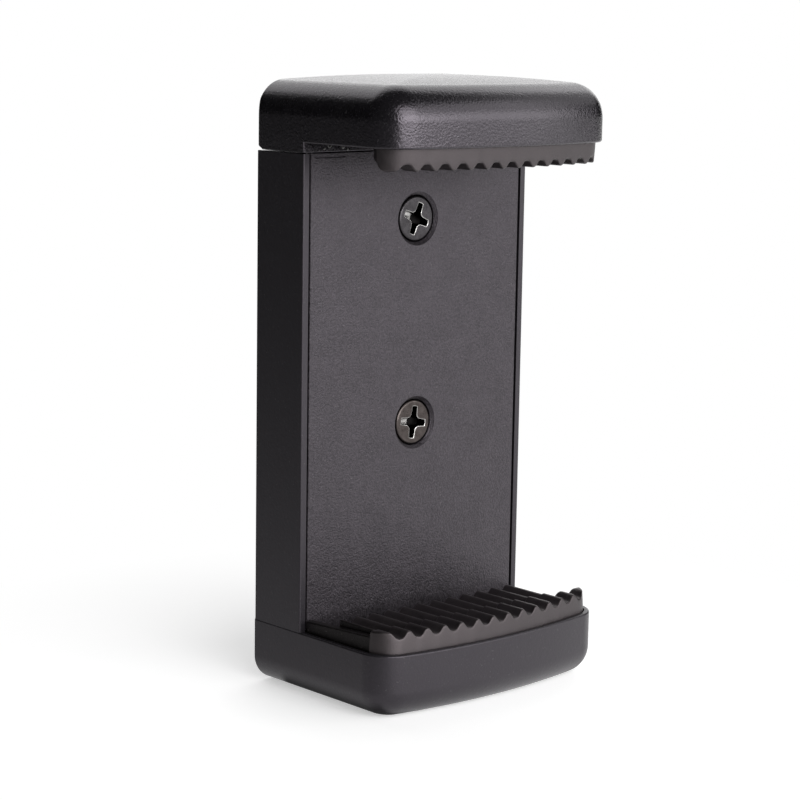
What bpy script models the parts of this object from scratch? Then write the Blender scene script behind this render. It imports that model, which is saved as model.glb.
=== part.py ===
# Phone clamp with a sprung sliding jaw, in metres, +Z up, standing on its lower jaw.
# X runs across the phone gap, the back face looks along +Y and the jaws point along -Y.
# Forward distances are measured from the back face, heights from the underside.
import math

import bmesh
import bpy

# Outer form
BODY_WIDTH = 0.0370
JAW_DEPTH = 0.0259
JAW_FRONT_RADIUS = 0.078
LOWER_CORNER_RADIUS = 0.0043
LOWER_BACK_RADIUS = 0.00015
LOWER_RIM_HEIGHT = 0.00805
LOWER_FILLET = 0.0035
UPPER_CORNER_RADIUS = 0.0048
UPPER_BACK_RADIUS = 0.0005
UPPER_JAW_HEIGHT = 0.0072
UPPER_FILLET = 0.0042
UPPER_CROWN = 0.0008
CROWN_SHARES = (0.75, 0.5, 0.25)
SKIRT_DROP = 0.00095
SKIRT_GAP = 0.0003
SKIRT_BEVEL_DEPTH = 0.0011
SKIRT_BEVEL_HEIGHT = 0.0006
HOUSING_DEPTH = 0.00875
HOUSING_TOP = 0.0660
HOUSING_FRONT_RADIUS = 0.0002
HOUSING_STEP = 0.00005
SKIRT_STEP = 0.00002
RIM_EDGE_RADIUS = 0.00025
LEAST_CORNER = 0.0001

# Walls of the moulded pieces
CLEARANCE = 0.0003
BACK_WALL = 0.0016
SIDE_WALL = 0.0022
SIDE_LIP = 0.00095
TOP_WALL = 0.0020
FLOOR_THICKNESS = 0.0052
CORE_FLOOR = 0.0022
CORE_WALL = 0.0030
JAW_TOP_WALL = 0.00205
JAW_RIM_WIDTH = 0.0006
JAW_BACK_WALL = 0.0016

# Cover plate and its screws
COVER_THICKNESS = 0.0015
COVER_RECESS = 0.00005
COVER_BOSS_LENGTH = 0.0017
COVER_BOSS_WALL = 0.0010
SCREW_HEIGHTS = (0.0320, 0.0575)
SCREW_TURNS = (0.17, 0.37)
SCREW_HEAD_RADIUS = 0.0028
SCREW_HEAD_THICKNESS = 0.0013
SCREW_HEAD_SINK = 0.0003
SCREW_SHANK_RADIUS = 0.0011
SCREW_END_WALL = 0.0010
CROSS_LENGTH = 0.0034
CROSS_WIDTH = 0.0008
CROSS_DEPTH = 0.0008
COUNTERBORE_MARGIN = 0.0005
LOWER_BOSS_RADIUS = 0.0026
UPPER_BOSS_RADIUS = 0.0032

# Slider, guide rods and springs
TRAVEL = 0.0270
SPRING_BAY_WIDTH = 0.0053
NECK_WEB = 0.0018
NECK_RAIL = 0.0024
FOOT_BOTTOM = 0.0120
FOOT_HEIGHT = 0.0040
ARM_LENGTH = 0.0179
ARM_THICKNESS = 0.0023
ROD_RADIUS = 0.0008
ROD_SOCKET_DEPTH = 0.0020
ROD_SLOT_DEPTH = 0.0013
SPRING_ROOM = 0.0005
SPRING_WIRE_RADIUS = 0.0002
SPRING_TURNS = 18

# Screws between the slider's arm and the upper jaw
JAW_SCREW_EDGE = 0.0040
JAW_SCREW_FORWARD = 0.0150
JAW_SCREW_HEAD_RADIUS = 0.0021
JAW_SCREW_HEAD_THICKNESS = 0.0008
JAW_SCREW_SHANK_RADIUS = 0.0009
JAW_SCREW_BITE = 0.0012

# Ribbed pads, the upper one the same as the lower one turned over
RIB_PITCH = 0.00253
RIB_DEPTH = 0.0008
RIB_STEPS = 3
PAD_CREST = 0.0026
PAD_SUNK = 0.0003
PAD_LIP_DEPTH = 0.0043
PAD_REAR_RIBS = 0.0140
PAD_REAR_DROP = 0.0002
PAD_SHORT_SIDE = 0.0055
PAD_WALL_WIDTH = 0.0012
PAD_WALL_RISE = 0.0013

# Threaded insert in the underside
INSERT_RADIUS = 0.0045
INSERT_BORE_RADIUS = 0.0031
INSERT_LENGTH = 0.0048
INSERT_SINK = 0.0001

ARC_STEPS = 6
ROUND_STEPS = 24
CUT_PAST = 0.001

half_width = BODY_WIDTH / 2
back_y = JAW_DEPTH / 2
skirt_bottom = HOUSING_TOP + SKIRT_GAP
upper_rim = skirt_bottom + SKIRT_DROP
top_height = upper_rim + UPPER_JAW_HEIGHT
jaw_ceiling = top_height - JAW_TOP_WALL
arm_top = jaw_ceiling - CLEARANCE
arm_bottom = arm_top - ARM_THICKNESS
cover_front = HOUSING_DEPTH - COVER_RECESS
cover_back = cover_front - COVER_THICKNESS
ledge_forward = cover_back - CLEARANCE
cover_boss_end = cover_back - COVER_BOSS_LENGTH
neck_back = BACK_WALL + CLEARANCE
neck_front = cover_back - CLEARANCE
neck_web_front = neck_back + NECK_WEB
hollow_half_width = half_width - SIDE_WALL
top_wall_bottom = HOUSING_TOP - TOP_WALL
rod_forward = (BACK_WALL + cover_back) / 2
neck_half_width = hollow_half_width - SPRING_BAY_WIDTH
rod_x = hollow_half_width - SPRING_BAY_WIDTH / 2
spring_radius = SPRING_BAY_WIDTH / 2 - SPRING_ROOM - SPRING_WIRE_RADIUS
jaw_screw_offset = neck_half_width - JAW_SCREW_EDGE
rod_hole_radius = ROD_RADIUS + CLEARANCE
foot_top = FOOT_BOTTOM + FOOT_HEIGHT
head_top = cover_front - SCREW_HEAD_SINK
head_bottom = head_top - SCREW_HEAD_THICKNESS
counterbore_floor = head_bottom - CLEARANCE
counterbore_radius = SCREW_HEAD_RADIUS + COUNTERBORE_MARGIN
cover_boss_radius = counterbore_radius + COVER_BOSS_WALL
boss_end = cover_boss_end - CLEARANCE
shank_hole_radius = SCREW_SHANK_RADIUS + CLEARANCE
pad_margin = JAW_RIM_WIDTH + CLEARANCE
pad_side = half_width - pad_margin
pad_back = HOUSING_DEPTH + CLEARANCE


def forward(distance):
    return back_y - distance


def clear_scene():
    for item in list(bpy.data.objects):
        bpy.data.objects.remove(item, do_unlink=True)


def make_material(name, colour, roughness, metallic):
    material = bpy.data.materials.new(name)
    material.use_nodes = True
    shader = material.node_tree.nodes["Principled BSDF"]
    shader.inputs["Base Color"].default_value = (*colour, 1.0)
    shader.inputs["Roughness"].default_value = roughness
    shader.inputs["Metallic"].default_value = metallic
    material.diffuse_color = (*colour, 1.0)
    return material


def add_object(name, bm, material=None):
    bmesh.ops.recalc_face_normals(bm, faces=bm.faces)
    mesh = bpy.data.meshes.new(name)
    bm.to_mesh(mesh)
    bm.free()
    item = bpy.data.objects.new(name, mesh)
    bpy.context.scene.collection.objects.link(item)
    if material:
        mesh.materials.append(material)
    return item


def combine(target, tool, operation):
    tool.hide_render = True
    tool.display_type = "WIRE"
    modifier = target.modifiers.new(tool.name, "BOOLEAN")
    modifier.operation = operation
    modifier.solver = "EXACT"
    modifier.object = tool


def cut(target, tool):
    combine(target, tool, "DIFFERENCE")


def fuse(target, tool):
    combine(target, tool, "UNION")


def rings_mesh(rings):
    bm = bmesh.new()
    loops = [[bm.verts.new(point) for point in ring] for ring in rings]
    count = len(rings[0])
    for lower, upper in zip(loops, loops[1:]):
        for i in range(count):
            j = (i + 1) % count
            bm.faces.new((lower[i], lower[j], upper[j], upper[i]))
    bm.faces.new(loops[0])
    bm.faces.new(loops[-1])
    return bm


def prism(outline, low, high):
    return rings_mesh([[(x, y, z) for x, y in outline] for z in (low, high)])


def box_mesh(low, high):
    outline = [(low[0], low[1]), (high[0], low[1]), (high[0], high[1]), (low[0], high[1])]
    return prism(outline, low[2], high[2])


def forward_box(name, x_low, x_high, near, far, low, high, material=None):
    bm = box_mesh((x_low, forward(far), low), (x_high, forward(near), high))
    return add_object(name, bm, material)


def circle(radius, steps=ROUND_STEPS):
    angles = [2 * math.pi * i / steps for i in range(steps)]
    return [(radius * math.cos(a), radius * math.sin(a)) for a in angles]


def upright_cylinder(name, x, y, radius, low, high, material=None):
    outline = [(x + a, y + b) for a, b in circle(radius)]
    return add_object(name, prism(outline, low, high), material)


def forward_cylinder(name, x, height, radius, near, far, material=None):
    rings = [[(x + a, forward(d), height + b) for a, b in circle(radius)] for d in (near, far)]
    return add_object(name, rings_mesh(rings), material)


def arc(centre, radius, start, end, steps):
    angles = [start + (end - start) * i / steps for i in range(steps + 1)]
    return [(centre[0] + radius * math.cos(a), centre[1] + radius * math.sin(a)) for a in angles]


def jaw_front(corner_radius, inset):
    """The jaw's plan from its left side round the front to its right side, moved inwards by inset."""
    bow_centre = (0.0, forward(JAW_DEPTH) + JAW_FRONT_RADIUS)
    corner_x = half_width - corner_radius
    corner_y = bow_centre[1] - math.sqrt((JAW_FRONT_RADIUS - corner_radius) ** 2 - corner_x ** 2)
    lean = math.asin(corner_x / (JAW_FRONT_RADIUS - corner_radius))
    corner = corner_radius - inset
    down = -math.pi / 2
    points = arc((-corner_x, corner_y), corner, math.pi, 2 * math.pi + down - lean, ARC_STEPS)
    bow = arc(bow_centre, JAW_FRONT_RADIUS - inset, down - lean, down + lean, 2 * ARC_STEPS)
    points += bow[1:-1]
    points += arc((corner_x, corner_y), corner, down + lean, 0.0, ARC_STEPS)
    return points


def jaw_outline(corner_radius, back_radius, inset):
    """Plan of a jaw, anticlockwise from its right back corner. Its back stays in one plane."""
    rear = max(back_radius - inset, LEAST_CORNER)
    rear_x = half_width - inset - rear
    rear_y = back_y - rear
    points = arc((rear_x, rear_y), rear, 0.0, math.pi / 2, 3)
    points += arc((-rear_x, rear_y), rear, math.pi / 2, math.pi, 3)
    return points + jaw_front(corner_radius, inset)


def tray_outline(corner_radius, inset, back):
    """Plan of what lies inside a jaw's rim, square at the back."""
    side = half_width - inset
    return [(side, forward(back)), (-side, forward(back))] + jaw_front(corner_radius, inset)


def housing_outline(step, rear, inset=0.0):
    """Plan of the housing or of the skirt over it, a box with small corners."""
    side = half_width - step - inset
    back = forward(step + inset)
    front = forward(HOUSING_DEPTH - inset)
    small = HOUSING_FRONT_RADIUS
    quarter = math.pi / 2
    points = arc((side - rear, back - rear), rear, 0.0, quarter, 3)
    points += arc((rear - side, back - rear), rear, quarter, 2 * quarter, 3)
    points += arc((small - side, front + small), small, 2 * quarter, 3 * quarter, 2)
    points += arc((side - small, front + small), small, 3 * quarter, 4 * quarter, 2)
    return points


def fillet(radius, steps=ARC_STEPS):
    """Inset and height lost along a quarter round, from the wall to the flat face."""
    angles = [math.pi / 2 * i / steps for i in range(steps + 1)]
    return [(radius * (1 - math.cos(a)), radius * math.sin(a)) for a in angles]


def jaw_mesh(rim, flat, fillet_radius, corner_radius, back_radius, crown=0.0):
    """A jaw's outer block between its rim and its outer face, which rises by crown to its middle."""
    way = 1.0 if flat > rim else -1.0
    levels = [(inset, rim + way * (RIM_EDGE_RADIUS - rise))
              for inset, rise in reversed(fillet(RIM_EDGE_RADIUS, 2))]
    levels += [(inset, flat - way * (fillet_radius - rise)) for inset, rise in fillet(fillet_radius)]
    rings = [[(x, y, z) for x, y in jaw_outline(corner_radius, back_radius, inset)] for inset, z in levels]
    if crown:
        middle_y = (rings[-1][0][1] + forward(JAW_DEPTH - fillet_radius)) / 2
        for share in CROWN_SHARES:
            rings.append([(x * share, middle_y + (y - middle_y) * share, flat + way * crown * (1 - share ** 2))
                          for x, y, _ in rings[len(levels) - 1]])
    return rings_mesh(rings)


def mirrored(offset):
    return (("left", -offset), ("right", offset))


def make_rear_housing(material):
    jaw = jaw_mesh(LOWER_RIM_HEIGHT, 0.0, LOWER_FILLET, LOWER_CORNER_RADIUS, LOWER_BACK_RADIUS)
    housing = add_object("rear_housing", jaw, material)
    levels = [(0.0, LOWER_FILLET), (0.0, HOUSING_TOP - RIM_EDGE_RADIUS)]
    levels += [(inset, HOUSING_TOP - RIM_EDGE_RADIUS + rise) for inset, rise in fillet(RIM_EDGE_RADIUS, 2)[1:]]
    shell = rings_mesh([[(x, y, z) for x, y in housing_outline(HOUSING_STEP, LOWER_BACK_RADIUS, inset)]
                        for inset, z in levels])
    fuse(housing, add_object("housing_block", shell))
    past_front = HOUSING_DEPTH + CUT_PAST
    past_top = HOUSING_TOP + CUT_PAST
    cut(housing, forward_box("housing_hollow", -hollow_half_width, hollow_half_width, BACK_WALL, ledge_forward,
                             FLOOR_THICKNESS, top_wall_bottom))
    lip_inside = half_width - SIDE_LIP
    cut(housing, forward_box("cover_seat", -lip_inside, lip_inside, ledge_forward, past_front,
                             FLOOR_THICKNESS, past_top))
    tray = prism(tray_outline(LOWER_CORNER_RADIUS, JAW_RIM_WIDTH, HOUSING_DEPTH),
                 FLOOR_THICKNESS, LOWER_RIM_HEIGHT + CUT_PAST)
    cut(housing, add_object("lower_tray", tray))
    neck_slot = neck_half_width + CLEARANCE
    cut(housing, forward_box("neck_opening", -neck_slot, neck_slot, BACK_WALL, past_front,
                             top_wall_bottom - CUT_PAST, past_top))
    core_inside = INSERT_RADIUS + CLEARANCE + CORE_FLOOR
    core_outside = half_width - CORE_WALL
    core_front = JAW_DEPTH - LOWER_CORNER_RADIUS
    for side, x in mirrored(1.0):
        low, high = sorted((x * core_inside, x * core_outside))
        cut(housing, forward_box(f"floor_core_{side}", low, high, HOUSING_DEPTH + CORE_FLOOR, core_front,
                                 CORE_FLOOR, FLOOR_THICKNESS + CUT_PAST))
        rod = x * rod_x
        rod_y = forward(rod_forward)
        cut(housing, upright_cylinder(f"rod_socket_{side}", rod, rod_y, rod_hole_radius,
                                      FLOOR_THICKNESS - ROD_SOCKET_DEPTH, FLOOR_THICKNESS + CUT_PAST))
        slot = arc((rod, rod_y), rod_hole_radius, 0.0, math.pi, 8)
        slot += [(rod - rod_hole_radius, forward(past_front)), (rod + rod_hole_radius, forward(past_front))]
        cut(housing, add_object(f"rod_slot_{side}", prism(slot, top_wall_bottom - CUT_PAST,
                                                          top_wall_bottom + ROD_SLOT_DEPTH)))
    radii = (LOWER_BOSS_RADIUS, UPPER_BOSS_RADIUS)
    for place, height, radius in zip(("lower", "upper"), SCREW_HEIGHTS, radii):
        fuse(housing, forward_cylinder(f"boss_{place}", 0.0, height, radius, BACK_WALL / 2, boss_end))
        cut(housing, forward_cylinder(f"boss_bore_{place}", 0.0, height, shank_hole_radius,
                                      SCREW_END_WALL, boss_end + CUT_PAST))
    cut(housing, upright_cylinder("insert_seat", 0.0, 0.0, INSERT_RADIUS + CLEARANCE,
                                  -CUT_PAST, FLOOR_THICKNESS + CUT_PAST))
    return housing


def make_front_cover(material):
    side = half_width - SIDE_LIP - CLEARANCE
    cover = forward_box("front_cover", -side, side, cover_back, cover_front,
                        FLOOR_THICKNESS + CLEARANCE, HOUSING_TOP, material)
    for place, height in zip(("lower", "upper"), SCREW_HEIGHTS):
        fuse(cover, forward_cylinder(f"cover_boss_{place}", 0.0, height, cover_boss_radius,
                                     cover_boss_end, (cover_back + cover_front) / 2))
        cut(cover, forward_cylinder(f"counterbore_{place}", 0.0, height, counterbore_radius,
                                    counterbore_floor, cover_front + CUT_PAST))
        cut(cover, forward_cylinder(f"cover_hole_{place}", 0.0, height, shank_hole_radius,
                                    cover_boss_end - CUT_PAST, cover_front))
    return cover


def screw_mesh(head_radius, head_thickness, shank_radius, shank_length):
    """A pan head screw along +Z, its head's top at the origin."""
    crown = head_thickness / 4
    profile = [(shank_radius * 0.4, -head_thickness - shank_length),
               (shank_radius, -head_thickness - shank_length + 2 * shank_radius),
               (shank_radius, -head_thickness), (head_radius, -head_thickness),
               (head_radius, -crown), (head_radius - crown, 0.0)]
    return rings_mesh([[(x, y, z) for x, y in circle(radius)] for radius, z in profile])


def make_screw(name, head_radius, head_thickness, shank_radius, shank_length, place, rotation, material):
    screw = add_object(name, screw_mesh(head_radius, head_thickness, shank_radius, shank_length), material)
    screw.location = place
    screw.rotation_euler = rotation
    arm = head_radius * CROSS_LENGTH / SCREW_HEAD_RADIUS / 2
    half = CROSS_WIDTH / 2
    depth = min(CROSS_DEPTH, head_thickness * 0.7)
    for part, (x, y) in (("a", (arm, half)), ("b", (half, arm))):
        tool = add_object(f"{name}_cross_{part}", box_mesh((-x, -y, -depth), (x, y, CUT_PAST)))
        tool.location = place
        tool.rotation_euler = rotation
        cut(screw, tool)
    return screw


def make_slider(material):
    profile = [(forward(neck_back), FOOT_BOTTOM), (forward(neck_front), FOOT_BOTTOM),
               (forward(neck_front), arm_bottom), (forward(neck_back + ARM_LENGTH), arm_bottom),
               (forward(neck_back + ARM_LENGTH), arm_top), (forward(neck_back), arm_top)]
    rings = [[(x, y, z) for y, z in profile] for x in (-neck_half_width, neck_half_width)]
    slider = add_object("slider", rings_mesh(rings), material)
    wing = hollow_half_width - CLEARANCE
    inset = CLEARANCE / 2
    fuse(slider, forward_box("foot_wings", -wing, wing, neck_back + inset, neck_front - inset,
                             FOOT_BOTTOM + inset, foot_top))
    rail_inside = neck_half_width - NECK_RAIL
    low_boss, high_boss = SCREW_HEIGHTS
    below = FOOT_BOTTOM - CUT_PAST
    cut(slider, forward_box("channel", -rail_inside, rail_inside, neck_web_front, neck_front + CUT_PAST,
                            below, high_boss + cover_boss_radius + CLEARANCE))
    wide = UPPER_BOSS_RADIUS + CLEARANCE
    narrow = LOWER_BOSS_RADIUS + CLEARANCE
    stop_height = high_boss - UPPER_BOSS_RADIUS - CLEARANCE - TRAVEL
    near, far = neck_back - CUT_PAST, neck_web_front + CUT_PAST
    cut(slider, forward_box("slot_wide", -wide, wide, near, far, stop_height, high_boss + wide))
    cut(slider, forward_box("slot_narrow", -narrow, narrow, near, far, below, stop_height + CUT_PAST))
    for side, x in mirrored(1.0):
        cut(slider, upright_cylinder(f"foot_bore_{side}", x * rod_x, forward(rod_forward), rod_hole_radius,
                                     below, foot_top + CUT_PAST))
        screw_y = forward(JAW_SCREW_FORWARD)
        seat = arm_bottom + CLEARANCE + JAW_SCREW_HEAD_THICKNESS + CLEARANCE
        cut(slider, upright_cylinder(f"arm_seat_{side}", x * jaw_screw_offset, screw_y,
                                     JAW_SCREW_HEAD_RADIUS + CLEARANCE, arm_bottom - CUT_PAST, seat))
        cut(slider, upright_cylinder(f"arm_hole_{side}", x * jaw_screw_offset, screw_y,
                                     JAW_SCREW_SHANK_RADIUS + CLEARANCE, arm_bottom, arm_top + CUT_PAST))
    return slider


def make_upper_jaw(material):
    block = jaw_mesh(upper_rim, top_height, UPPER_FILLET, UPPER_CORNER_RADIUS, UPPER_BACK_RADIUS, UPPER_CROWN)
    jaw = add_object("upper_jaw", block, material)
    skirt = prism(housing_outline(SKIRT_STEP, UPPER_BACK_RADIUS), skirt_bottom, upper_rim + UPPER_JAW_HEIGHT / 4)
    fuse(jaw, add_object("skirt_block", skirt))
    slope = SKIRT_BEVEL_HEIGHT / SKIRT_BEVEL_DEPTH
    bevel = [(forward(SKIRT_BEVEL_DEPTH + CUT_PAST), skirt_bottom - CUT_PAST * slope),
             (forward(-CUT_PAST), skirt_bottom - CUT_PAST * slope),
             (forward(-CUT_PAST), skirt_bottom + (SKIRT_BEVEL_DEPTH + CUT_PAST) * slope)]
    rings = [[(x, y, z) for y, z in bevel] for x in (-half_width - CUT_PAST, half_width + CUT_PAST)]
    cut(jaw, add_object("skirt_bevel", rings_mesh(rings)))
    recess = prism(tray_outline(UPPER_CORNER_RADIUS, JAW_RIM_WIDTH, HOUSING_DEPTH),
                   upper_rim - CUT_PAST, arm_bottom)
    cut(jaw, add_object("upper_recess", recess))
    pocket_half = neck_half_width + CLEARANCE
    pocket_front = neck_back + ARM_LENGTH + CLEARANCE
    cut(jaw, forward_box("arm_pocket", -pocket_half, pocket_half, JAW_BACK_WALL, pocket_front,
                         skirt_bottom - CUT_PAST, jaw_ceiling))
    core_inside = pocket_half + JAW_BACK_WALL
    core_outside = half_width - CORE_WALL
    for side, x in mirrored(1.0):
        low, high = sorted((x * core_inside, x * core_outside))
        cut(jaw, forward_box(f"front_core_{side}", low, high, HOUSING_DEPTH + JAW_BACK_WALL,
                             JAW_DEPTH - UPPER_CORNER_RADIUS - JAW_BACK_WALL,
                             arm_bottom - CUT_PAST, jaw_ceiling))
        cut(jaw, forward_box(f"rear_core_{side}", low, high, CORE_WALL,
                             HOUSING_DEPTH - JAW_BACK_WALL, skirt_bottom - CUT_PAST, arm_bottom))
        cut(jaw, upright_cylinder(f"jaw_bore_{side}", x * jaw_screw_offset, forward(JAW_SCREW_FORWARD),
                                  JAW_SCREW_SHANK_RADIUS + CLEARANCE, jaw_ceiling - CUT_PAST,
                                  jaw_ceiling + JAW_SCREW_BITE))
    return jaw


def rib_line(left, right, crest, valley):
    """Top line of the ribs from left to right, with a valley at every whole pitch from x = 0."""
    steps = 2 * RIB_STEPS
    first = math.ceil(left / RIB_PITCH * steps)
    last = math.floor(right / RIB_PITCH * steps)
    places = [left] + [i * RIB_PITCH / steps for i in range(first, last + 1)] + [right]
    kept = [x for x, after in zip(places, places[1:]) if after - x > CLEARANCE / 4] + [right]
    line = []
    for x in kept:
        phase = abs(x / RIB_PITCH - round(x / RIB_PITCH)) * 2
        line.append((x, valley + (crest - valley) * phase ** 1.6))
    return line


def rib_block(left, right, near, far, seat, crest, valley):
    line = rib_line(left, right, crest, valley)
    profile = line + [(right, seat), (left, seat)]
    return rings_mesh([[(x, forward(d), z) for x, z in profile] for d in (near, far)])


def make_pad(name, seat, rim, way, corner_radius, material):
    """A pad with a ribbed lip along the front and a lower ribbed block behind it.

    seat is the face it lies on, rim the jaw's rim, way +1 where the ribs look up and -1 down.
    The block stops short at one side, and a low wall runs on to the housing at the other.
    """
    crest = rim + way * PAD_CREST
    valley = crest - way * RIB_DEPTH
    drop = way * PAD_REAR_DROP
    lip_back = JAW_DEPTH - pad_margin - PAD_LIP_DEPTH
    base = prism(tray_outline(corner_radius, pad_margin, pad_back), seat, rim - way * PAD_SUNK)
    pad = add_object(name, base, material)
    root = seat + way * CLEARANCE
    small = CLEARANCE / 10
    lip_outline = tray_outline(corner_radius, pad_margin + small, pad_back + small)
    lip = add_object(f"{name}_lip", prism(lip_outline, root, crest + way * CUT_PAST))
    ribs = rib_block(-half_width, half_width, lip_back, JAW_DEPTH, root - way * CUT_PAST, crest, valley)
    combine(lip, add_object(f"{name}_lip_ribs", ribs), "INTERSECT")
    fuse(pad, lip)
    full = pad_side - small
    left, right = sorted((-way * full, way * (pad_side - PAD_SHORT_SIDE)))
    rear = rib_block(left, right, PAD_REAR_RIBS, lip_back + CLEARANCE, root, crest - drop, valley - drop)
    fuse(pad, add_object(f"{name}_rear_ribs", rear))
    left, right = sorted((-way * (full - small), -way * (full - PAD_WALL_WIDTH)))
    low, high = sorted((root, rim + way * PAD_WALL_RISE))
    fuse(pad, forward_box(f"{name}_wall", left, right, pad_back + small, PAD_REAR_RIBS + CLEARANCE, low, high))
    return pad


def make_spring(name, x, material):
    low = foot_top + CLEARANCE + SPRING_WIRE_RADIUS
    high = top_wall_bottom - CLEARANCE - SPRING_WIRE_RADIUS
    steps = 10 * SPRING_TURNS
    rings = []
    for i in range(steps + 1):
        angle = 2 * math.pi * SPRING_TURNS * i / steps
        height = low + (high - low) * i / steps
        ring = []
        for a, b in circle(SPRING_WIRE_RADIUS, 5):
            reach = spring_radius + a
            ring.append((x + reach * math.cos(angle), forward(rod_forward) + reach * math.sin(angle), height + b))
        rings.append(ring)
    return add_object(name, rings_mesh(rings), material)


def make_insert(material):
    insert = upright_cylinder("tripod_insert", 0.0, 0.0, INSERT_RADIUS,
                              INSERT_SINK, INSERT_SINK + INSERT_LENGTH, material)
    cut(insert, upright_cylinder("insert_bore", 0.0, 0.0, INSERT_BORE_RADIUS,
                                 -CUT_PAST, FLOOR_THICKNESS + CUT_PAST))
    return insert


def build():
    clear_scene()
    housing_black = make_material("housing_black", (0.018, 0.017, 0.018), 0.5, 0.0)
    cover_grey = make_material("cover_grey", (0.032, 0.028, 0.028), 0.55, 0.0)
    jaw_black = make_material("jaw_black", (0.014, 0.013, 0.014), 0.35, 0.0)
    rubber = make_material("pad_rubber", (0.028, 0.024, 0.023), 0.8, 0.0)
    slider_black = make_material("slider_black", (0.02, 0.02, 0.02), 0.5, 0.0)
    gunmetal = make_material("screw_gunmetal", (0.12, 0.11, 0.11), 0.35, 1.0)
    steel = make_material("spring_steel", (0.5, 0.5, 0.5), 0.3, 1.0)
    brass = make_material("insert_brass", (0.7, 0.5, 0.22), 0.3, 1.0)

    make_rear_housing(housing_black)
    make_front_cover(cover_grey)
    make_upper_jaw(jaw_black)
    make_slider(slider_black)
    shank_length = head_bottom - SCREW_END_WALL - CLEARANCE
    for place, height, turn in zip(("lower", "upper"), SCREW_HEIGHTS, SCREW_TURNS):
        make_screw(f"cover_screw_{place}", SCREW_HEAD_RADIUS, SCREW_HEAD_THICKNESS, SCREW_SHANK_RADIUS,
                   shank_length, (0.0, forward(head_top), height), (math.pi / 2, turn, 0.0), gunmetal)
    jaw_shank = jaw_ceiling + JAW_SCREW_BITE - CLEARANCE - arm_bottom - CLEARANCE - JAW_SCREW_HEAD_THICKNESS
    for side, x in mirrored(jaw_screw_offset):
        make_screw(f"jaw_screw_{side}", JAW_SCREW_HEAD_RADIUS, JAW_SCREW_HEAD_THICKNESS,
                   JAW_SCREW_SHANK_RADIUS, jaw_shank,
                   (x, forward(JAW_SCREW_FORWARD), arm_bottom + CLEARANCE), (math.pi, 0.0, 0.0), gunmetal)
    for side, x in mirrored(rod_x):
        upright_cylinder(f"guide_rod_{side}", x, forward(rod_forward), ROD_RADIUS,
                         FLOOR_THICKNESS - ROD_SOCKET_DEPTH + CLEARANCE,
                         top_wall_bottom + ROD_SLOT_DEPTH - CLEARANCE, steel)
        make_spring(f"spring_{side}", x, steel)
    make_pad("lower_pad", FLOOR_THICKNESS + CLEARANCE, LOWER_RIM_HEIGHT, 1.0, LOWER_CORNER_RADIUS, rubber)
    make_pad("upper_pad", arm_bottom - CLEARANCE, upper_rim, -1.0, UPPER_CORNER_RADIUS, rubber)
    make_insert(brass)


build()
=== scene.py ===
# Looks of the phone clamp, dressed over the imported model.
# The frame is in metres, +Z up, with the back face towards +Y. Shapes here are worked out in
# millimetres and scaled as they become meshes. A forward distance is counted from the back face.
import math

import bmesh
import bpy
from mathutils import Matrix, Vector


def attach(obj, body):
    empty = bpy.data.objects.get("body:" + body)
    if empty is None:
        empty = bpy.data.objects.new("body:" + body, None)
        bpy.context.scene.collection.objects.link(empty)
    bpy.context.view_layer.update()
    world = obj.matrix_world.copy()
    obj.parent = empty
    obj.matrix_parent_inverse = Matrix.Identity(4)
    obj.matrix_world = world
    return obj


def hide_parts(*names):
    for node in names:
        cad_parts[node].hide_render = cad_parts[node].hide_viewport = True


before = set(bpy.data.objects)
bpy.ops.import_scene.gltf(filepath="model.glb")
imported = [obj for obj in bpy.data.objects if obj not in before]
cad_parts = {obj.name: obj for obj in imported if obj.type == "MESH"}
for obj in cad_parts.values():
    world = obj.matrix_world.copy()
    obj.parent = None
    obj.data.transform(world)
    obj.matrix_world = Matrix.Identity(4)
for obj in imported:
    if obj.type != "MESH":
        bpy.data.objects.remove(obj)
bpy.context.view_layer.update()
print("stage: frame loaded")

millimetre = 0.001
backY = 12.95
past = 1.0  # how far a cutting shape reaches past what it cuts

# Outer form of both jaws and the housing, the same sizes as the solids have
body = {
    "halfWidth": 18.5,
    "jawDepth": 25.9,
    "bowRadius": 78.0,
    "lowerRim": 8.05,
    "lowerFillet": 3.5,
    "upperRim": 67.25,
    "upperFillet": 4.2,
    "top": 74.45,
    "crown": 0.8,
    "housingDepth": 8.75,
    "housingTop": 66.0,
    "housingEdge": 0.2,
    "topEdge": 0.08,
    "skirtBottom": 66.13,
    "rimEdge": 0.25,
    "rimWidth": 0.6,
    "clearance": 0.3,
    "leastCorner": 0.1,
    "crownSteps": 12,
}
lowerPlan = {"corner": 4.3, "back": 0.15, "step": 0.05}
upperPlan = {"corner": 4.8, "back": 0.5, "step": 0.003}


def forward(distance):
    return backY - distance


def arc(centreX, centreY, radius, start, end, steps):
    angles = [start + (end - start) * i / steps for i in range(steps + 1)]
    return [(centreX + radius * math.cos(a), centreY + radius * math.sin(a)) for a in angles]


# Inset and height lost along a quarter round, from the wall to the flat face
def quarter(radius, steps=8):
    angles = [math.pi / 2 * i / steps for i in range(steps + 1)]
    return [(radius * (1 - math.cos(a)), radius * math.sin(a)) for a in angles]


# Centre of a jaw's front corner: its side offset, its forward distance and the bow's half angle
def cornerPlace(plan):
    reach = body["bowRadius"] - plan["corner"]
    side = body["halfWidth"] - plan["corner"]
    distance = body["jawDepth"] - body["bowRadius"] + math.sqrt(reach ** 2 - side ** 2)
    return side, distance, math.asin(side / reach)


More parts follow.
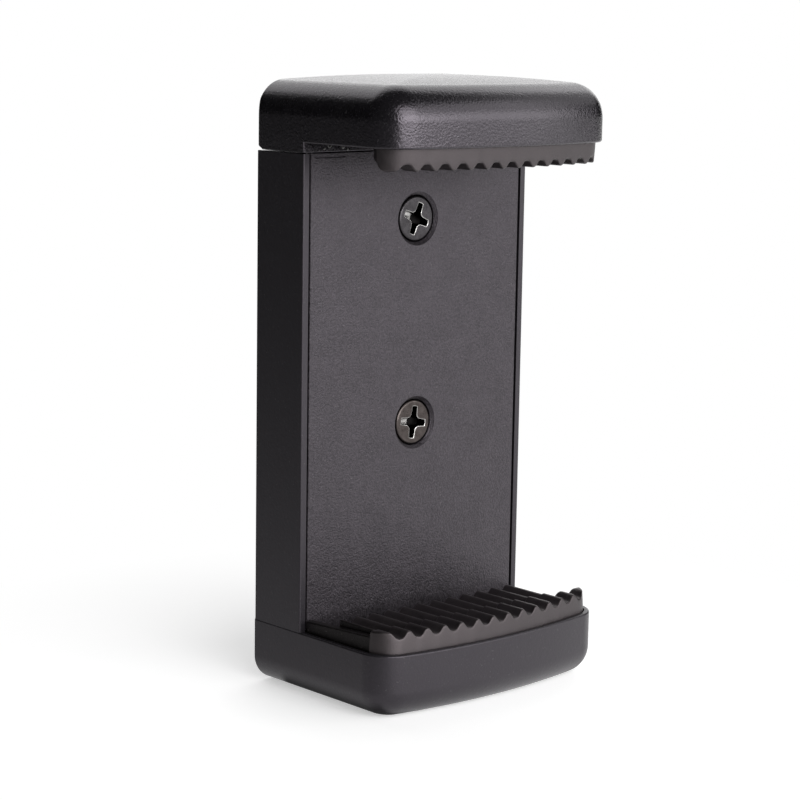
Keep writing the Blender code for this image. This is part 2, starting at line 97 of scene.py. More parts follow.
# Plan of a jaw from its left side round the front to its right side
def jawFront(plan, inset, cornerSteps=16, bowSteps=28):
    cornerX, cornerD, lean = cornerPlace(plan)
    bowY = forward(body["jawDepth"] - body["bowRadius"])
    corner = plan["corner"] - inset
    down = -math.pi / 2
    points = arc(-cornerX, forward(cornerD), corner, math.pi, 2 * math.pi + down - lean, cornerSteps)
    points += arc(0.0, bowY, body["bowRadius"] - inset, down - lean, down + lean, bowSteps)[1:-1]
    points += arc(cornerX, forward(cornerD), corner, down + lean, 0.0, cornerSteps)
    return points


# Whole plan of a jaw, anticlockwise from its right back corner. The back stays in one plane.
def jawOutline(plan, inset):
    rear = max(plan["back"] - inset, body["leastCorner"])
    rearX, rearY = body["halfWidth"] - inset - rear, backY - rear
    points = arc(rearX, rearY, rear, 0.0, math.pi / 2, 5)
    points += arc(-rearX, rearY, rear, math.pi / 2, math.pi, 5)
    return points + jawFront(plan, inset)


# Plan of what lies inside a jaw's rim, square at the back
def trayOutline(plan, inset, back):
    side = body["halfWidth"] - inset
    return [(side, forward(back)), (-side, forward(back))] + jawFront(plan, inset)


# Plan of the housing or of the skirt over it
def housingOutline(plan, inset=0.0):
    side = body["halfWidth"] - plan["step"] - inset
    back = forward(plan["step"] + inset)
    front = forward(body["housingDepth"] - inset)
    rear, small = plan["back"], body["housingEdge"]
    turn = math.pi / 2
    points = arc(side - rear, back - rear, rear, 0.0, turn, 5)
    points += arc(rear - side, back - rear, rear, turn, 2 * turn, 5)
    points += arc(small - side, front + small, small, 2 * turn, 3 * turn, 4)
    points += arc(side - small, front + small, small, 3 * turn, 4 * turn, 4)
    return points


# A closed loft: the first ring's face is extruded to each further ring of the same length
def ringsMesh(rings):
    bm = bmesh.new()
    face = bm.faces.new([bm.verts.new(point) for point in rings[0]])
    pulled = []
    for ring in rings[1:]:
        geometry = bmesh.ops.extrude_face_region(bm, geom=[face])["geom"]
        face = next(item for item in geometry if isinstance(item, bmesh.types.BMFace))
        for vert, point in zip(face.verts, ring):
            vert.co = point
        pulled.append(face)
    bmesh.ops.delete(bm, geom=pulled[:-1], context="FACES_ONLY")
    return bm


def prism(outline, low, high):
    return ringsMesh([[(x, y, z) for x, y in outline] for z in (low, high)])


# A box between forward distances, its upright corners rounded where corner is given
def boxMesh(xLow, xHigh, near, far, low, high, corner=0.0):
    yLow, yHigh = forward(far), forward(near)
    if corner:
        turn = math.pi / 2
        outline = arc(xHigh - corner, yHigh - corner, corner, 0.0, turn, 5)
        outline += arc(xLow + corner, yHigh - corner, corner, turn, 2 * turn, 5)
        outline += arc(xLow + corner, yLow + corner, corner, 2 * turn, 3 * turn, 5)
        outline += arc(xHigh - corner, yLow + corner, corner, 3 * turn, 4 * turn, 5)
    else:
        outline = [(xLow, yLow), (xHigh, yLow), (xHigh, yHigh), (xLow, yHigh)]
    return prism(outline, low, high)


# A profile of radius and height spun around Z, closed at both ends
def lathe(profile, steps=64, x=0.0, y=0.0):
    bm = bmesh.new()
    verts = [bm.verts.new((x + radius, y, height)) for radius, height in profile]
    edges = [bm.edges.new(pair) for pair in zip(verts, verts[1:])]
    bmesh.ops.spin(bm, geom=verts + edges, cent=(x, y, 0.0), axis=(0.0, 0.0, 1.0), angle=2 * math.pi,
                   steps=steps, use_merge=True)
    bmesh.ops.holes_fill(bm, edges=[edge for edge in bm.edges if edge.is_boundary])
    return bm


def turned(bm, matrix):
    bmesh.ops.transform(bm, matrix=matrix, verts=bm.verts)
    return bm


# Matrix that takes a piece drawn along +Z to one that looks out of the front, along -Y
def facing(x, height, distance, turn=0.0):
    place = Matrix.Translation((x, forward(distance), height))
    return place @ Matrix.Rotation(math.pi / 2, 4, "X") @ Matrix.Rotation(turn, 4, "Z")


def shadeSmooth(piece, smoothAngle):
    mesh = piece.data
    mesh.shade_smooth()
    mesh.set_sharp_from_angle(angle=math.radians(smoothAngle))
    modifier = piece.modifiers.new("weighted", "WEIGHTED_NORMAL")
    modifier.keep_sharp = True
    modifier.weight = 50


# An object at the origin from a mesh drawn in millimetres
def addMesh(name, bm):
    bmesh.ops.recalc_face_normals(bm, faces=bm.faces)
    bmesh.ops.scale(bm, vec=(millimetre,) * 3, verts=bm.verts)
    mesh = bpy.data.meshes.new(name)
    bm.to_mesh(mesh)
    bm.free()
    item = bpy.data.objects.new(name, mesh)
    bpy.context.scene.collection.objects.link(item)
    return item


# Several closed meshes as one piece
def joinedPiece(name, parts, smoothAngle=40.0):
    bm = bmesh.new()
    for part in parts:
        bmesh.ops.recalc_face_normals(part, faces=part.faces)
        mesh = bpy.data.meshes.new("part")
        part.to_mesh(mesh)
        part.free()
        bm.from_mesh(mesh)
        bpy.data.meshes.remove(mesh)
    piece = addMesh(name, bm)
    shadeSmooth(piece, smoothAngle)
    return piece


# Runs (mesh, operation) steps on a block with exact Booleans and returns the applied piece
def carvedPiece(name, bm, steps, smoothAngle=32.0):
    target = addMesh(name, bm)
    tools = []
    for toolMesh, operation in steps:
        tool = addMesh(f"{name}Tool{len(tools)}", toolMesh)
        modifier = target.modifiers.new(tool.name, "BOOLEAN")
        modifier.operation = operation
        modifier.solver = "EXACT"
        modifier.object = tool
        tools.append(tool)
    bpy.context.view_layer.update()
    evaluated = target.evaluated_get(bpy.context.evaluated_depsgraph_get())
    finished = bpy.data.meshes.new_from_object(evaluated)
    target.modifiers.clear()
    target.data = finished
    finished.name = name
    for tool in tools:
        bpy.data.objects.remove(tool, do_unlink=True)
    shadeSmooth(target, smoothAngle)
    return target


# Materials
def nodeMaterial(name):
    material = bpy.data.materials.new(name)
    material.use_nodes = True
    tree = material.node_tree
    shader = tree.nodes["Principled BSDF"]
    coordinate = tree.nodes.new("ShaderNodeTexCoord")
    return material, tree, shader, coordinate


def link(tree, output, target):
    tree.links.new(output, target)


# Noise whose features are about size millimetres
def noiseNode(tree, coordinate, size, detail=2.0, roughness=0.5):
    node = tree.nodes.new("ShaderNodeTexNoise")
    node.inputs["Scale"].default_value = 1.0 / (size * millimetre)
    node.inputs["Detail"].default_value = detail
    node.inputs["Roughness"].default_value = roughness
    link(tree, coordinate.outputs["Object"], node.inputs["Vector"])
    return node.outputs["Fac"]


# Rounded cells about size millimetres across
def voronoiNode(tree, coordinate, size):
    node = tree.nodes.new("ShaderNodeTexVoronoi")
    node.feature = "SMOOTH_F1"
    node.inputs["Scale"].default_value = 1.0 / (size * millimetre)
    node.inputs["Smoothness"].default_value = 0.5
    link(tree, coordinate.outputs["Object"], node.inputs["Vector"])
    return node.outputs["Distance"]


def rangeNode(tree, value, fromLow, fromHigh, toLow, toHigh):
    node = tree.nodes.new("ShaderNodeMapRange")
    node.inputs["From Min"].default_value = fromLow
    node.inputs["From Max"].default_value = fromHigh
    node.inputs["To Min"].default_value = toLow
    node.inputs["To Max"].default_value = toHigh
    link(tree, value, node.inputs["Value"])
    return node.outputs["Result"]


def mathNode(tree, operation, first, second):
    node = tree.nodes.new("ShaderNodeMath")
    node.operation = operation
    link(tree, first, node.inputs[0])
    link(tree, second, node.inputs[1])
    return node.outputs[0]


def mixColour(tree, factor, first, second):
    node = tree.nodes.new("ShaderNodeMix")
    node.data_type = "RGBA"
    for index, value in ((0, factor), (6, first), (7, second)):
        socket = node.inputs[index]
        if isinstance(value, tuple):
            socket.default_value = (*value, 1.0)
        else:
            link(tree, value, socket)
    return node.outputs[2]


# Bump whose height of 1 stands for distance millimetres
def bumpNode(tree, height, distance, before=None):
    node = tree.nodes.new("ShaderNodeBump")
    node.inputs["Distance"].default_value = distance * millimetre
    link(tree, height, node.inputs["Height"])
    if before is not None:
        link(tree, before, node.inputs["Normal"])
    return node.outputs["Normal"]


# Moulded black plastic with a fine pebbled grain, slow tone changes and a few pale specks
def mouldedPlastic(name, values):
    material, tree, shader, coordinate = nodeMaterial(name)
    slow = rangeNode(tree, noiseNode(tree, coordinate, values["mottleSize"], 3.0, 0.6), 0.0, 1.0, 0.35, 0.65)
    grain = noiseNode(tree, coordinate, values["grainSize"], 2.0, 0.55)
    pebble = voronoiNode(tree, coordinate, values["pebbleSize"])
    spread = values["toneSpread"]
    tone = rangeNode(tree, mathNode(tree, "ADD", slow, grain), 1.0 - spread, 1.0 + spread, 0.0, 1.0)
    colour = mixColour(tree, tone, values["dark"], values["light"])
    fine = noiseNode(tree, coordinate, values["speckSize"], 0.0)
    specks = rangeNode(tree, fine, values["speckFrom"], 0.85, 0.0, 1.0)
    colour = mixColour(tree, specks, colour, values["speck"])
    link(tree, colour, shader.inputs["Base Color"])
    spread = values["roughnessSpread"]
    rough = rangeNode(tree, grain, 0.3, 0.7, values["roughness"] - spread, values["roughness"] + spread)
    link(tree, rough, shader.inputs["Roughness"])
    shader.inputs["Specular IOR Level"].default_value = values["specular"]
    shader.inputs["Specular Tint"].default_value = (*values["tint"], 1.0)
    first = bumpNode(tree, pebble, values["pebbleDepth"])
    link(tree, bumpNode(tree, grain, values["grainDepth"], first), shader.inputs["Normal"])
    return material


housingLook = {
    "dark": (0.0075, 0.0068, 0.0082),
    "light": (0.0105, 0.0098, 0.0115),
    "speck": (0.03, 0.029, 0.03),
    "speckSize": 0.25,
    "speckFrom": 0.74,
    "toneSpread": 0.25,
    "mottleSize": 4.0,
    "grainSize": 0.2,
    "grainDepth": 0.013,
    "pebbleSize": 0.45,
    "pebbleDepth": 0.008,
    "roughness": 0.4,
    "roughnessSpread": 0.04,
    "specular": 0.5,
    "tint": (0.98, 0.89, 1.0),
}
coverLook = dict(housingLook)
coverLook.update({
    "dark": (0.002, 0.0018, 0.002),
    "light": (0.028, 0.0245, 0.028),
    "speck": (0.06, 0.056, 0.056),
    "grainSize": 0.22,
    "grainDepth": 0.07,
    "roughness": 0.37,
    "toneSpread": 0.2,
    "specular": 0.49,
})
capLook = dict(housingLook)
capLook.update({
    "dark": (0.0045, 0.004, 0.005),
    "light": (0.0095, 0.009, 0.0102),
    "pebbleSize": 0.3,
    "pebbleDepth": 0.014,
    "grainSize": 0.23,
    "grainDepth": 0.03,
    "roughness": 0.24,
    "specular": 0.62,
})
rubberLook = {
    "dark": (0.0035, 0.003, 0.003),
    "light": (0.011, 0.0098, 0.0098),
    "grainDepth": 0.012,
    "dust": (0.055, 0.051, 0.049),
    "dustSize": 0.5,
    "dustFrom": 0.66,
    "roughness": 0.48,
    "specular": 0.78,
    "tint": (1.0, 0.88, 0.92),
}


# Painted shade for the pad's low side wall: darker and less shiny than the pad's rubber, with more pale dust
shadeAndDustLook = dict(rubberLook)
shadeAndDustLook.update({
    "dark": (0.002, 0.0019, 0.0019),
    "light": (0.008, 0.0074, 0.0072),
    "dust": (0.2, 0.19, 0.18),
    "dustSize": 0.35,
    "dustFrom": 0.64,
    "grainDepth": 0.05,
    "specular": 0.22,
})


# Dark rubber: satin, slightly blotched, with pale dust in places
def rubberMaterial(name, values):
    material, tree, shader, coordinate = nodeMaterial(name)
    slow = noiseNode(tree, coordinate, 2.2, 3.0, 0.6)
    fine = noiseNode(tree, coordinate, 0.2, 2.0, 0.6)
    colour = mixColour(tree, rangeNode(tree, slow, 0.35, 0.65, 0.0, 1.0), values["dark"], values["light"])
    dust = rangeNode(tree, noiseNode(tree, coordinate, values["dustSize"], 4.0, 0.7), values["dustFrom"],
                     values["dustFrom"] + 0.14, 0.0, 0.8)
    colour = mixColour(tree, dust, colour, values["dust"])
    link(tree, colour, shader.inputs["Base Color"])
    rough = rangeNode(tree, slow, 0.3, 0.7, values["roughness"] - 0.06, values["roughness"] + 0.06)
    link(tree, rough, shader.inputs["Roughness"])
    shader.inputs["Specular IOR Level"].default_value = values["specular"]
    shader.inputs["Specular Tint"].default_value = (*values["tint"], 1.0)
    link(tree, bumpNode(tree, fine, values["grainDepth"]), shader.inputs["Normal"])
    return material


# Plated or turned metal with a worn, uneven finish
def metalMaterial(name, colour, roughness, tarnish):
    material, tree, shader, coordinate = nodeMaterial(name)
    slow = noiseNode(tree, coordinate, 0.9, 3.0, 0.6)
    fine = noiseNode(tree, coordinate, 0.25, 2.0, 0.6)
    tone = mixColour(tree, rangeNode(tree, slow, 0.35, 0.7, 0.0, 1.0), colour, tarnish)
    link(tree, tone, shader.inputs["Base Color"])
    rough = rangeNode(tree, fine, 0.3, 0.7, roughness - 0.05, roughness + 0.07)
    link(tree, rough, shader.inputs["Roughness"])
    shader.inputs["Metallic"].default_value = 1.0
    link(tree, bumpNode(tree, fine, 0.004), shader.inputs["Normal"])
    return material


housingPlastic = mouldedPlastic("housingPlastic", housingLook)
coverPlastic = mouldedPlastic("coverPlastic", coverLook)
capPlastic = mouldedPlastic("capPlastic", capLook)
sliderPlastic = mouldedPlastic("sliderPlastic", housingLook)
padRubber = rubberMaterial("padRubber", rubberLook)
# The second rubber paints shade, with pale dust, on the pad's low side wall
shadeAndDustRubber = rubberMaterial("shadeAndDustRubber", shadeAndDustLook)
upperSteel = metalMaterial("screwUpper", (0.062, 0.058, 0.062), 0.3, (0.036, 0.034, 0.036))
lowerSteel = metalMaterial("screwLower", (0.078, 0.067, 0.064), 0.3, (0.044, 0.037, 0.035))
# Bright steel: worn bare metal on the screws' lip, and a painted glint on the left arm's floor
wornAndGlintSteel = metalMaterial("screwWornAndGlint", (0.55, 0.54, 0.53), 0.18, (0.3, 0.29, 0.28))
# Near-black steel: painted shade inside the screws' cross recess
recessShadeSteel = metalMaterial("screwRecessShade", (0.012, 0.011, 0.011), 0.3, (0.006, 0.006, 0.006))
steel = metalMaterial("springSteel", (0.55, 0.54, 0.52), 0.28, (0.4, 0.38, 0.36))
brass = metalMaterial("insertBrass", (0.72, 0.52, 0.24), 0.26, (0.55, 0.37, 0.16))
print("stage: materials made")


def dress(piece, material, bodyName, *nodes):
    piece.data.materials.clear()
    piece.data.materials.append(material)
    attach(piece, bodyName)
    if nodes:
        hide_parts(*nodes)


# Rear housing with the lower jaw
housing = {
    "floor": 5.2,
    "shellOverlap": 0.5,
    "backWall": 1.6,
    "sideWall": 2.2,
    "sideLip": 0.95,
    "topWall": 2.0,
    "ledge": 6.9,
    "ledgeOverlap": 0.2,
    "neckHalf": 11.3,
    "hollowCorner": 0.4,
    "openingCorner": 0.3,
    "coreFloor": 2.2,
    "coreWall": 3.0,
    "coreCorner": 0.6,
    "insertHole": 4.8,
    "insertChamfer": 0.35,
    "rodX": 13.65,
    "rodForward": 4.4,
    "rodHole": 1.1,
    "rodSocket": 2.0,
    "rodSlot": 1.3,
    "bossHeights": (32.0, 57.5),
    "bossRadii": (2.6, 3.2),
    "bossEnd": 5.2,
    "bossLength": 4.0,
    "screwHole": 1.4,
    "screwHoleDepth": 4.2,
}


# A jaw's outer block between its rim and its outer face, which rises by crown to its middle
def jawBlock(plan, rim, flat, filletRadius, crown=0.0):
    way = 1.0 if flat > rim else -1.0
    edge = body["rimEdge"]
    levels = [(inset, rim + way * (edge - rise)) for inset, rise in reversed(quarter(edge, 4))]
    levels += [(inset, flat - way * (filletRadius - rise)) for inset, rise in quarter(filletRadius, 16)]
    rings = [[(x, y, z) for x, y in jawOutline(plan, inset)] for inset, z in levels]
    if crown:
        edgeRing = rings[-1]
        middleY = (backY + forward(body["jawDepth"] - filletRadius)) / 2
        count = body["crownSteps"]
        for share in [1.0 - i / count for i in range(1, count)]:
            height = flat + way * crown * (1 - share ** 2)
            rings.append([(x * share, middleY + (y - middleY) * share, height) for x, y, _ in edgeRing])
    return ringsMesh(rings)


def makeHousing():
    block = jawBlock(lowerPlan, body["lowerRim"], 0.0, body["lowerFillet"])
    edge, top = body["topEdge"], body["housingTop"]
    levels = [(0.0, body["lowerFillet"] + housing["shellOverlap"]), (0.0, top - edge)]
    levels += [(inset, top - edge + rise) for inset, rise in quarter(edge, 4)[1:]]
    shell = ringsMesh([[(x, y, z) for x, y in housingOutline(lowerPlan, inset)] for inset, z in levels])
    inside = body["halfWidth"] - housing["sideWall"]
    lipInside = body["halfWidth"] - housing["sideLip"]
    floor = housing["floor"]
    pastFront, pastTop = body["housingDepth"] + past, top + past
    topWallBottom = top - housing["topWall"]
    neck = housing["neckHalf"]
    trayPlan = trayOutline(lowerPlan, body["rimWidth"], body["housingDepth"])
    tray = prism(trayPlan, floor, body["lowerRim"] + past)
    hollow = boxMesh(-inside, inside, housing["backWall"], housing["ledge"], floor, topWallBottom,
                     housing["hollowCorner"])
    seatBack = housing["ledge"] - housing["ledgeOverlap"]
    seat = boxMesh(-lipInside, lipInside, seatBack, pastFront, floor, pastTop)
    opening = boxMesh(-neck, neck, housing["backWall"], pastFront, topWallBottom - past, pastTop,
                      housing["openingCorner"])
    steps = [(shell, "UNION"), (hollow, "DIFFERENCE"), (seat, "DIFFERENCE"), (tray, "DIFFERENCE"),
             (opening, "DIFFERENCE")]
    inner = housing["insertHole"] + housing["coreFloor"]
    outer = body["halfWidth"] - housing["coreWall"]
    for low, high in ((-outer, -inner), (inner, outer)):
        core = boxMesh(low, high, body["housingDepth"] + housing["coreFloor"],
                       body["jawDepth"] - lowerPlan["corner"], housing["coreFloor"], floor + past,
                       housing["coreCorner"])
        steps.append((core, "DIFFERENCE"))
    hole, distance = housing["rodHole"], housing["rodForward"]
    for x in (-housing["rodX"], housing["rodX"]):
        low, high = floor - housing["rodSocket"], floor + past
        steps.append((lathe([(hole, low), (hole, high)], 24, x, forward(distance)), "DIFFERENCE"))
        slot = arc(x, forward(distance), hole, 0.0, math.pi, 16)
        slot += [(x - hole, forward(pastFront)), (x + hole, forward(pastFront))]
        steps.append((prism(slot, topWallBottom - past, topWallBottom + housing["rodSlot"]), "DIFFERENCE"))
    for height, radius in zip(housing["bossHeights"], housing["bossRadii"]):
        boss = lathe([(radius, -housing["bossLength"]), (radius, 0.0)], 48)
        steps.append((turned(boss, facing(0.0, height, housing["bossEnd"])), "UNION"))
        bore = lathe([(housing["screwHole"], -housing["screwHoleDepth"]), (housing["screwHole"], past)], 32)
        steps.append((turned(bore, facing(0.0, height, housing["bossEnd"])), "DIFFERENCE"))
    hole, chamfer = housing["insertHole"], housing["insertChamfer"]
    mouth = lathe([(hole + chamfer, -past), (hole + chamfer, 0.0), (hole, chamfer), (hole, floor + past)])
    steps.append((mouth, "DIFFERENCE"))
    return carvedPiece("housingShell", block, steps)


dress(makeHousing(), housingPlastic, "base", "rear_housing")
print("stage: housing made")

# Cover plate
cover = {
    "front": 8.7,
    "back": 7.2,
    "bottom": 5.5,
    "counterbore": 3.3,
    "counterboreFloor": 6.8,
    "bossRadius": 4.3,
    "bossEnd": 5.5,
    "bossLength": 2.5,
    "shankHole": 1.4,
    "shankHoleDepth": 3.0,
    "edge": 0.06,
    "mouthEdge": 0.06,
    "collarDepth": 0.42,
    "collarRadius": 2.95,
    "lineHeight": 65.46,
    "lineLeft": -16.7,
    "lineRight": -11.9,
    "lineWidth": 0.14,
    "lineDepth": 0.3,
}


def makeCover():
    side = body["halfWidth"] - housing["sideLip"] - body["clearance"]
    edge = cover["edge"]
    low, high = cover["bottom"], body["housingTop"]
    rings = []
    for inset, distance in ((0.0, cover["back"]), (0.0, cover["front"] - edge), (edge, cover["front"])):
        y = forward(distance)
        rings.append([(-side + inset, y, low), (side - inset, y, low),
                      (side - inset, y, high - inset), (-side + inset, y, high - inset)])
    steps = []
    for height in housing["bossHeights"]:
        boss = lathe([(cover["bossRadius"], 0.0), (cover["bossRadius"], cover["bossLength"])])
        steps.append((turned(boss, facing(0.0, height, cover["bossEnd"])), "UNION"))
    for height in housing["bossHeights"]:
        depth = cover["front"] - cover["counterboreFloor"]
        radius, mouth = cover["counterbore"], cover["mouthEdge"]
        collar = depth - cover["collarDepth"]
        profile = [(cover["shankHole"], -cover["shankHoleDepth"]), (cover["shankHole"], 0.0),
                   (cover["collarRadius"], 0.0), (cover["collarRadius"], collar)]
        profile += [(radius + inset, depth - mouth + rise) for inset, rise in quarter(mouth, 4)]
        profile.append((radius + mouth, depth + past))
        sink = turned(lathe(profile, 96), facing(0.0, height, cover["counterboreFloor"]))
        steps.append((sink, "DIFFERENCE"))
    middle, width = cover["lineHeight"], cover["lineWidth"]
    line = boxMesh(cover["lineLeft"], cover["lineRight"], cover["front"] - cover["lineDepth"],
                   cover["front"] + past, middle - width / 2, middle + width / 2)
    steps.append((line, "DIFFERENCE"))
    return carvedPiece("coverPlate", ringsMesh(rings), steps)


dress(makeCover(), coverPlastic, "base", "front_cover")
print("stage: cover made")

# Cross-head screws
screw = {
    "headRadius": 2.8,
    "headTop": 8.4,
    "headThickness": 1.3,
    "edgeRadius": 0.3,
    "underEdge": 0.1,
    "shankRadius": 1.1,
    "shankEnd": 5.0,
    "tipEnd": 7.0,
    "tipRadius": 0.4,
    "crossReach": 2.02,
    "crossHalf": 0.44,
    "crossFlare": 0.6,
    "crossDepth": 1.15,
    "crossLip": 0.07,
    "armRound": 0.06,
    "armTaper": 0.88,
    # shares of the reach, the left arm's reach, the half width, the flare and the depth
    "crossLevels": ((0.86, 0.27, 0.9, 0.8, 1.0), (0.94, 0.36, 0.96, 0.96, 0.43)),
    "crossMouth": (0.99, 0.98, 1.0, 1.0),
    "turns": (-0.15, -0.37),
}


# Plan of a cross with hollow corners; the arm on the left may be shorter
def crossOutline(reach, half, flare, leftReach=None):
    outline = []
    back, narrow = screw["armRound"], half * screw["armTaper"]
    for arm, end in enumerate((reach, reach, leftReach or reach, reach)):
        middle = half + min(flare, max(end - back - 0.01 - half, 0.01))
        points = [(end - back, -narrow), (end, 0.0), (end - back, narrow), (middle, half)]
        for i in range(1, 6):
            a = math.pi / 2 * i / 6
            points.append((half + (middle - half) * (1 - math.sin(a)), half + flare * (1 - math.cos(a))))
        cosine, sine = math.cos(arm * math.pi / 2), math.sin(arm * math.pi / 2)
        outline += [(x * cosine - y * sine, x * sine + y * cosine) for x, y in points]
    return outline


# A cross that narrows with depth: the arms' floors slope down to the middle, the mouth is eased
def crossTool():
    reach, half, flare = screw["crossReach"], screw["crossHalf"], screw["crossFlare"]
    depth, lip = screw["crossDepth"], screw["crossLip"]
    levels = [(*shares, -depth * share) for *shares, share in screw["crossLevels"]]
    levels.append((*screw["crossMouth"], -lip))
    rings = []
    for steep, gentle, wide, hollow, z in levels:
        outline = crossOutline(reach * steep, half * wide, flare * hollow, reach * gentle)
        rings.append([(x, y, z) for x, y in outline])
    for inset, rise in quarter(lip, 3)[1:]:
        rings.append([(x, y, rise - lip) for x, y in crossOutline(reach + inset, half + inset, flare)])
    rings.append([(x, y, past / 2) for x, y in crossOutline(reach + lip, half + lip, flare)])
    return ringsMesh(rings)


def makeScrew(name, height, turn):
    radius, thickness, edge = screw["headRadius"], screw["headThickness"], screw["edgeRadius"]
    under = screw["underEdge"]
    profile = [(screw["tipRadius"], -screw["tipEnd"]), (screw["shankRadius"], -screw["shankEnd"]),
               (screw["shankRadius"], -thickness), (radius - under, -thickness), (radius, under - thickness)]
    profile += [(radius - inset, -edge + rise) for inset, rise in quarter(edge, 6)]
    head = turned(lathe(profile, 96), facing(0.0, height, screw["headTop"]))
    tool = turned(crossTool(), facing(0.0, height, screw["headTop"], turn))
    return carvedPiece(name, head, [(tool, "DIFFERENCE")], 40.0)


# The worn lip shows bare metal; the same bright metal on the sloping floor of the left arm is a painted
# glint, and the rest of the recess is painted black shade
def paintRecessGlintAndShade(piece, height, turn):
    piece.data.materials.append(wornAndGlintSteel)
    piece.data.materials.append(recessShadeSteel)
    face, reach = forward(screw["headTop"]), screw["crossReach"] + 2 * screw["crossLip"]
    across = Vector((math.cos(turn), 0.0, math.sin(turn)))
    for polygon in piece.data.polygons:
        centre, normal = polygon.center / millimetre, polygon.normal
        depth = centre.y - face
        if 0.004 < depth < screw["crossDepth"] + 0.05 and math.hypot(centre.x, centre.z - height) < reach:
            # The gentle floor of the left arm takes the painted glint, the lip the worn bare metal, the rest
            # painted shade
            gentle = normal.dot(across) > 0.2 and normal.y < -0.8
            polygon.material_index = 1 if gentle or depth < screw["crossLip"] else 2


for place, height, turn, metal in zip(("Lower", "Upper"), housing["bossHeights"], screw["turns"],
                                      (lowerSteel, upperSteel)):
    piece = makeScrew(f"coverScrew{place}", height, turn)
    dress(piece, metal, "base", f"cover_screw_{place.lower()}")
    paintRecessGlintAndShade(piece, height, turn)
print("stage: screws made")

# Upper jaw
cap = {
    "backWall": 1.6,
    "pocketHalf": 11.3,
    "pocketFront": 20.1,
    "pocketCorner": 0.4,
    "apronBack": 7.4,
    "apronTop": 67.5,
    "ceiling": 72.4,
    "recessTop": 69.8,
    "coreInside": 12.9,
    "coreOutside": 15.5,
    "coreFront": 19.5,
    "coreBack": 3.0,
    "skirtOverlap": 1.8,
    "skirtEdge": 0.06,
    "bevelDepth": 1.1,
    "bevelHeight": 0.6,
}


def makeCap():
    block = jawBlock(upperPlan, body["upperRim"], body["top"], body["upperFillet"], body["crown"])
    bottom, edge, corner = body["skirtBottom"], cap["skirtEdge"], cap["pocketCorner"]
    levels = [(inset, bottom + edge - rise) for inset, rise in reversed(quarter(edge, 3))]
    levels.append((0.0, body["upperRim"] + cap["skirtOverlap"]))
    skirt = ringsMesh([[(x, y, z) for x, y in housingOutline(upperPlan, inset)] for inset, z in levels])
    slope = cap["bevelHeight"] / cap["bevelDepth"]
    low = bottom - past * slope
    bevelPlan = [(forward(cap["bevelDepth"] + past), low), (forward(-past), low),
                 (forward(-past), bottom + (cap["bevelDepth"] + past) * slope)]
    wide = body["halfWidth"] + past
    bevel = ringsMesh([[(x, y, z) for y, z in bevelPlan] for x in (-wide, wide)])
    recess = prism(trayOutline(upperPlan, body["rimWidth"], body["housingDepth"]),
                   body["upperRim"] - past, cap["recessTop"])
    pocket = boxMesh(-cap["pocketHalf"], cap["pocketHalf"], cap["backWall"], cap["apronBack"],
                     bottom - past, cap["ceiling"], corner)
    over = boxMesh(-cap["pocketHalf"], cap["pocketHalf"], cap["apronBack"] - past, cap["pocketFront"],
                   cap["apronTop"], cap["ceiling"], corner)
    steps = [(skirt, "UNION"), (bevel, "DIFFERENCE"), (recess, "DIFFERENCE"), (pocket, "DIFFERENCE"),
             (over, "DIFFERENCE")]
    for low, high in ((-cap["coreOutside"], -cap["coreInside"]), (cap["coreInside"], cap["coreOutside"])):
        front = boxMesh(low, high, body["housingDepth"] + cap["backWall"], cap["coreFront"],
                        cap["recessTop"] - past, cap["ceiling"], corner)
        rear = boxMesh(low, high, cap["coreBack"], body["housingDepth"] - cap["backWall"],
                       bottom - past, cap["recessTop"], corner)
        steps += [(front, "DIFFERENCE"), (rear, "DIFFERENCE")]
    return carvedPiece("jawCap", block, steps)


dress(makeCap(), capPlastic, "jaw", "upper_jaw")

# Lumps of dried glue on the skirt's front: x, height, radius, and the hole's radius where there is one
glue = {
    "spots": ((-14.5, 66.85, 0.3, 0.14), (-12.4, 66.62, 0.22, 0.0), (-15.3, 66.5, 0.16, 0.0),
              (-11.7, 66.35, 0.18, 0.0)),
    "rise": 0.12,
    "sunk": 0.05,
    "lift": 0.002,
    "colour": (0.09, 0.088, 0.086),
    "roughness": 0.35,
}


def makeGlue():
    parts = []
    for x, height, radius, hole in glue["spots"]:
        middle, half = (radius + hole) / 2, (radius - hole) / 2
        profile = [(radius, -glue["sunk"])]
        profile += [(middle + half * math.cos(a), glue["rise"] * math.sin(a))
                    for a in [math.pi * i / 8 for i in range(1 if hole else 0, 8 if hole else 4)]]
        profile.append((max(hole, 0.01), -glue["sunk"] if hole else glue["rise"]))
        parts.append(turned(lathe(profile, 20), facing(x, height, body["housingDepth"] + glue["lift"])))
    return joinedPiece("glueLumps", parts, 60.0)


glueMaterial, _, glueShader, _ = nodeMaterial("driedGlue")
glueShader.inputs["Base Color"].default_value = (*glue["colour"], 1.0)
glueShader.inputs["Roughness"].default_value = glue["roughness"]
dress(makeGlue(), glueMaterial, "jaw")
print("stage: upper jaw made")

